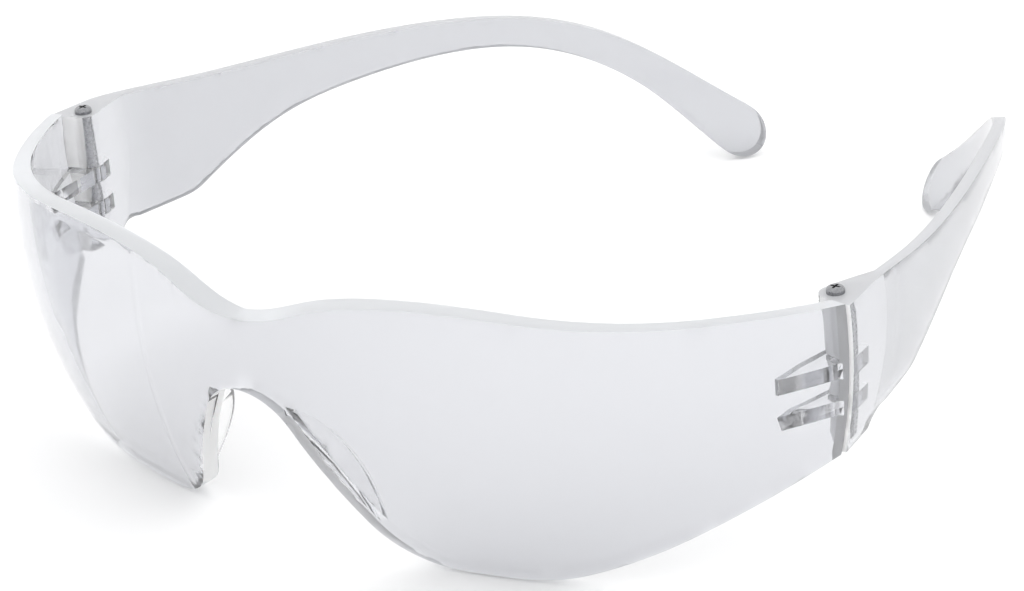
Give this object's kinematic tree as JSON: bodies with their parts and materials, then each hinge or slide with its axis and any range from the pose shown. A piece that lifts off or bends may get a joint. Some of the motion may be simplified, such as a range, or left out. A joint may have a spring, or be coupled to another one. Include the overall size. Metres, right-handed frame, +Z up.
{
  "type": "safety glasses",
  "caption": "Clear frameless one-piece wraparound safety glasses with a nose notch and flanges; curved side arms fold inwards on vertical hinge screws.",
  "frame": {"origin": "centre of the footprint, at the height of the surface the open glasses stand on", "axes": "+Z up, -Y the way the wearer looks, +X the wearer's left; the lens is symmetric about X = 0; the left arm is stored turned in by 5.35 degrees"},
  "size_m": [0.1531, 0.1622, 0.0444],
  "materials": {
    "lens_clear": "clear, optically polished polycarbonate",
    "arm_clear": "clear, gloss moulded polycarbonate",
    "screw_steel": "plain machined steel"
  },
  "bodies": {
    "lens": {"lens": "lens_clear"},
    "arm_left": {"temple_left": "arm_clear", "screw_left": "screw_steel"},
    "arm_right": {"temple_right": "arm_clear", "screw_right": "screw_steel"}
  },
  "joints": [
    {"name": "arm_left_fold", "type": "hinge", "parent": "lens", "child": "arm_left", "pos_m": [0.0723, -0.0351, 0], "axis": [0, 0, 1], "range_deg": [-5.35, 72]},
    {"name": "arm_right_fold", "type": "hinge", "parent": "lens", "child": "arm_right", "pos_m": [-0.0723, -0.0351, 0], "axis": [0, 0, -1], "range_deg": [0, 70]}
  ]
}
